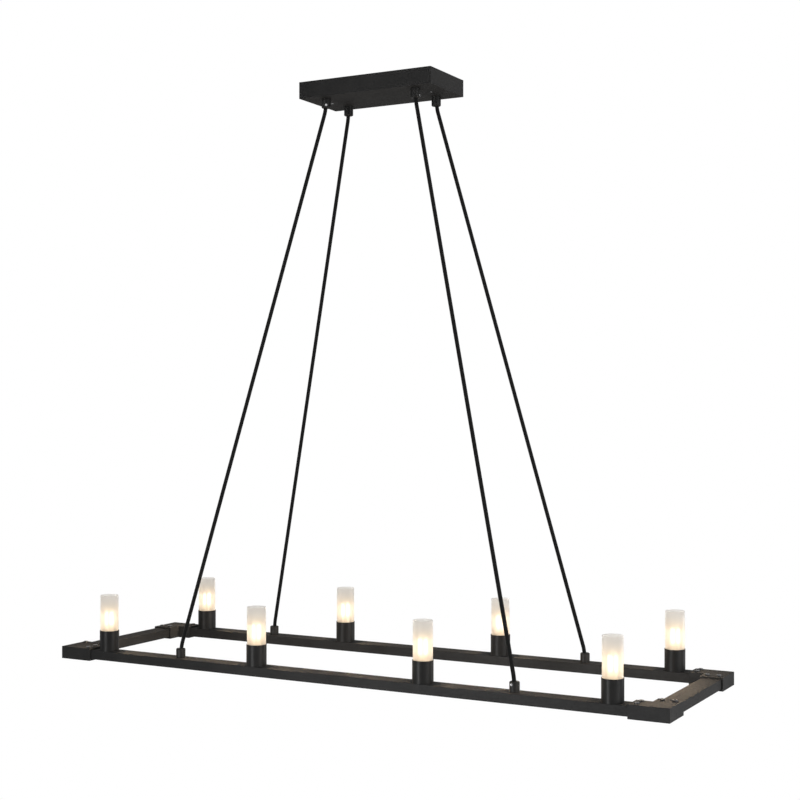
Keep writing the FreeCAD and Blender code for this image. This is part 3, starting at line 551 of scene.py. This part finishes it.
def add_light(name, kind, power, place, only_on=None):
    """A light of this kind and power, which may light one collection only."""
    light = bpy.data.lights.new(name, kind)
    light.energy = power
    made = bpy.data.objects.new(name, light)
    made.location = place
    if only_on is not None:
        made.light_linking.receiver_collection = only_on
    scene.collection.objects.link(made)
    return made


def area_light(name, place, aim, size, power, spread=180, only_on=None):
    """A rectangular light that is turned towards aim, with its spread in degrees."""
    made = add_light(name, "AREA", power, place, only_on)
    made.rotation_euler = (Vector(aim) - Vector(place)).to_track_quat("-Z", "Y").to_euler()
    made.data.shape = "RECTANGLE"
    made.data.size, made.data.size_y = size
    made.data.spread = math.radians(spread)


# The strips and the lamps light these only: the lamps have their own glow and the glass a painted
# one, and the cords stay dull.
black_parts = bpy.data.collections.new("black_parts")
for name, piece in nodes.items():
    if not name.startswith(("glass_shade", "led_lamp", "cord_")):
        black_parts.objects.link(piece)

area_light("fill_right", place=(2.7, -0.5, -0.5), aim=(0.5, 0.0, -1.0), size=(0.5, 1.7), power=22)
area_light("fill_front", place=(-0.5, -2.6, -0.9), aim=(0.4, 0.0, -0.9), size=(0.45, 1.9),
           power=20)
area_light("fill_back", place=(2.1, 1.9, -1.30), aim=(0.3, 0.0, -1.0), size=(0.8, 1.4), power=8)
area_light("top_soft", place=(0.2, 0.6, 1.4), aim=(0.0, 0.0, -1.0), size=(2.2, 1.4), power=8)
area_light("strip_right", place=(2.7, -0.5, -0.5), aim=(0.5, 0.0, -1.0), size=(0.5, 1.7),
           power=25, spread=80, only_on=black_parts)
area_light("strip_front", place=(-0.9, -2.6, -0.9), aim=(0.6, 0.0, -0.95), size=(0.5, 1.9),
           power=16, spread=75, only_on=black_parts)

for side, sy in SIDES:
    for step in (-1.5, -0.5, 0.5, 1.5):
        place = (step * LAMP_PITCH, sy * RAIL_Y, -DROP + LAMP_TOP - BULB_FALL)
        bulb = add_light("lamp_light", "POINT", BULB_POWER, place, black_parts)
        bulb.data.color = BULB_COLOUR
        bulb.data.shadow_soft_size = BULB_RADIUS
        bulb.light_linking.blocker_collection = black_parts

# ---------------------------------------------------------------- floor and background
FLOOR = -2.30
FLOOR_REACH = 12.0
FLOOR_SCALE, FLOOR_COLOURS = 3.0, (grey(0.78), grey(0.84))
ROOM_COLOUR, ROOM_STRENGTH = (0.90, 0.94, 1.0, 1.0), 0.14


def seen_by_eye(tree):
    """1 where the camera looks at the surface itself, or sees it through glass or mirrored."""
    path = put(tree, "LightPath").outputs
    direct = calc(tree, "MAXIMUM", path["Is Camera Ray"], path["Is Transmission Ray"])
    return calc(tree, "MAXIMUM", direct, path["Is Glossy Ray"])


def floor_material():
    """Pale floor, white where the eye sees it."""
    material, tree = graph("pale_floor")
    mottle = noise(tree, FLOOR_SCALE, 5.0, detail=4.0)
    colour = blend_colour(tree, mottle, *FLOOR_COLOURS)
    matte = put(tree, "BsdfDiffuse", {"Color": colour}).outputs[0]
    white = put(tree, "Emission", {"Color": grey(1.0), "Strength": 1.0}).outputs[0]
    finish_surface(tree, mix_shader(tree, seen_by_eye(tree), matte, white))
    return material


mesh = bpy.data.meshes.new("floor")
corners = [(sx * FLOOR_REACH, sy * FLOOR_REACH, FLOOR)
           for sx, sy in ((-1, -1), (1, -1), (1, 1), (-1, 1))]
mesh.from_pydata(corners, [], [(0, 1, 2, 3)])
mesh.materials.append(floor_material())
floor = bpy.data.objects.new("floor", mesh)
scene.collection.objects.link(floor)

world = bpy.data.worlds.new("studio")
scene.world = world
world.use_nodes = True
tree = world.node_tree
tree.nodes.clear()
room = put(tree, "Background", {"Color": ROOM_COLOUR, "Strength": ROOM_STRENGTH}).outputs[0]
white = put(tree, "Background", {"Color": grey(1.0), "Strength": 1.0}).outputs[0]
put(tree, "OutputWorld", {"Surface": mix_shader(tree, seen_by_eye(tree), room, white)})
scene.view_settings.view_transform = "Standard"
